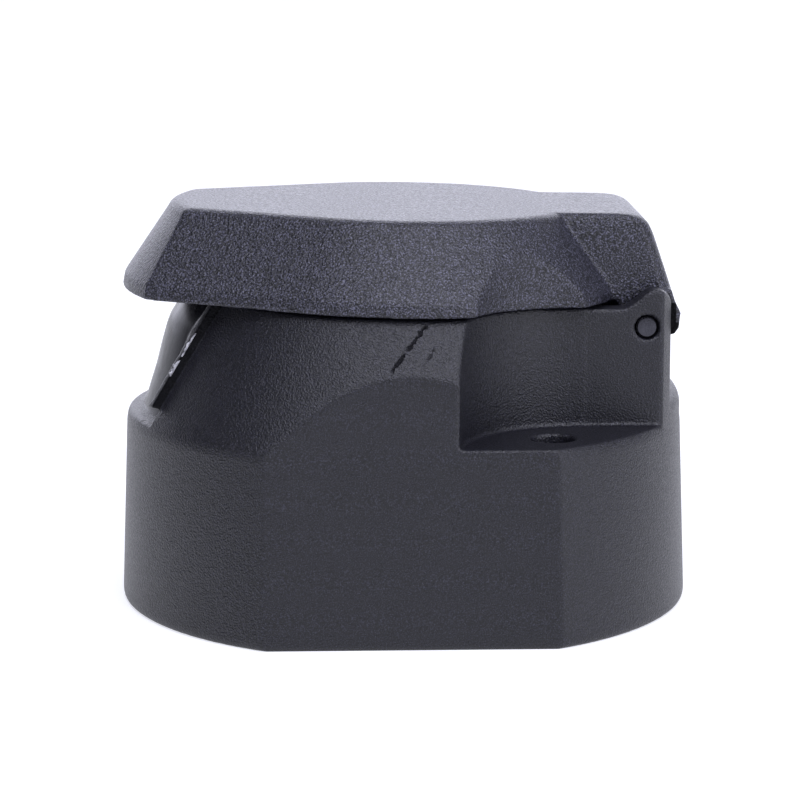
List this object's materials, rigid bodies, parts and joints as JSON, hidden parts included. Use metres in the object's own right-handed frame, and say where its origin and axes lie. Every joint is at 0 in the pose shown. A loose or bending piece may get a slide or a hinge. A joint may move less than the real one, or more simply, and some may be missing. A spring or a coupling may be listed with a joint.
{
  "type": "trailer wiring connector",
  "caption": "Round trailer wiring socket in black moulded plastic with a sprung hinged lid, a mounting skirt and screw pockets.",
  "frame": {"origin": "centre of the box of the mounting face, on the mounting plane", "axes": "+Z out of the plug mouth, +X towards the lid's hinge, +Y across the hinge"},
  "size_m": [0.08, 0.0694, 0.0562],
  "materials": {
    "housing_plastic": "fine moulded grain",
    "lid_plastic": "coarser sparkly moulded grain",
    "carrier_plastic": "smooth",
    "seal_rubber": "soft matt",
    "pin_steel": "dark plated",
    "spring_steel": "drawn wire",
    "screw_steel": "zinc plated",
    "contact_brass": "turned"
  },
  "bodies": {
    "housing": {"housing": "housing_plastic", "contact_carrier": "carrier_plastic", "contact_1": "contact_brass", "contact_2": "contact_brass", "contact_3": "contact_brass", "contact_4": "contact_brass", "contact_5": "contact_brass", "contact_6": "contact_brass", "contact_7": "contact_brass", "terminal_screw_1": "screw_steel", "terminal_screw_2": "screw_steel", "terminal_screw_3": "screw_steel", "terminal_screw_4": "screw_steel", "terminal_screw_5": "screw_steel", "terminal_screw_6": "screw_steel", "terminal_screw_7": "screw_steel", "carrier_screw_1": "screw_steel", "carrier_screw_2": "screw_steel", "hinge_pin": "pin_steel", "lid_spring": "spring_steel"},
    "lid": {"lid": "lid_plastic", "lid_seal": "seal_rubber"}
  },
  "joints": [
    {"name": "lid_hinge", "type": "hinge", "parent": "housing", "child": "lid", "pos_m": [0.0324, 0, 0.0403], "axis": [0, 1, 0], "range_deg": [0, 100], "stiffness_Nm_per_rad": 0.03, "springref_deg": -57.3, "deforming": ["lid_spring"]}
  ]
}
